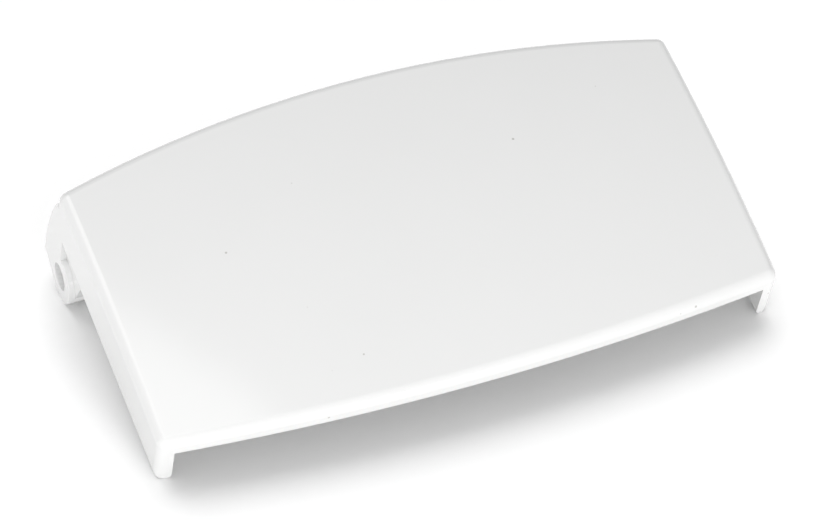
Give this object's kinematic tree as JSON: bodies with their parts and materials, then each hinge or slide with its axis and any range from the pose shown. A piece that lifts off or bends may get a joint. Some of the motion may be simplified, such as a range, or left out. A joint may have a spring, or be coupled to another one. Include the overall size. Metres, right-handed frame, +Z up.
{
  "type": "appliance door handle",
  "caption": "Moulded washing machine door handle: a crowned cover plate with end walls, pivot bosses bored for a pin, and a latch tongue under its back edge.",
  "frame": {"origin": "middle of the pivot axis", "axes": "+X along the pivot and the handle's length, +Y from the front lip towards the pivot, +Z up, with the handle lying on its front feet and its bosses"},
  "size_m": [0.105, 0.0626, 0.0273],
  "materials": {
    "white_plastic": "gloss moulded white"
  },
  "bodies": {
    "root": {"door_handle": "white_plastic"}
  },
  "joints": []
}
